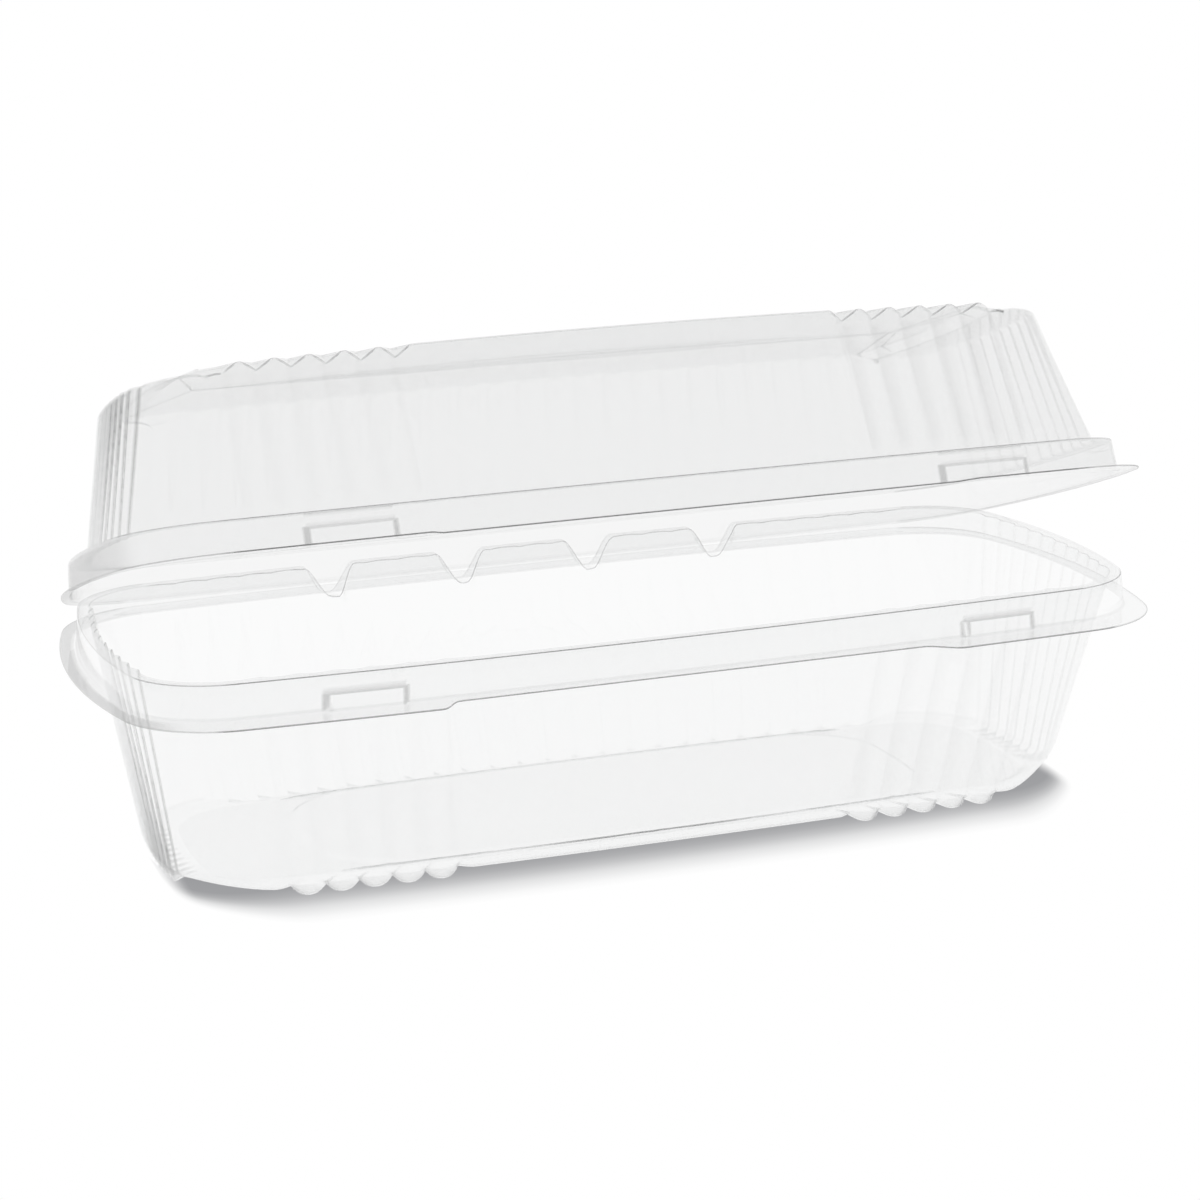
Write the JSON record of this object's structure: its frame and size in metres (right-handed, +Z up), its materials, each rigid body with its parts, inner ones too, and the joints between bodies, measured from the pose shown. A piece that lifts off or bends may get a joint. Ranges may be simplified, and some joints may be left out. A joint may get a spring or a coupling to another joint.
{
  "type": "plastic clamshell pack",
  "caption": "Long clear plastic clamshell food pack: a fluted tray and a domed, fluted lid with a flat top, joined along the back by a living hinge, standing a little open.",
  "frame": {"origin": "on the table, under the middle of the pack's outline", "axes": "+Z up, +X along the pack to its right-hand end as seen from the front, -Y towards the front where the lid opens"},
  "size_m": [0.3, 0.1499, 0.1416],
  "materials": {
    "clear_plastic": "clear, smooth and glossy, as formed"
  },
  "bodies": {
    "base": {"base_tray": "clear_plastic"},
    "lid": {"lid": "clear_plastic"}
  },
  "joints": [
    {"name": "lid_hinge", "type": "hinge", "parent": "base", "child": "lid", "pos_m": [0, 0.075, 0.05515], "axis": [-1, 0, 0], "range_deg": [-17, 163]}
  ]
}
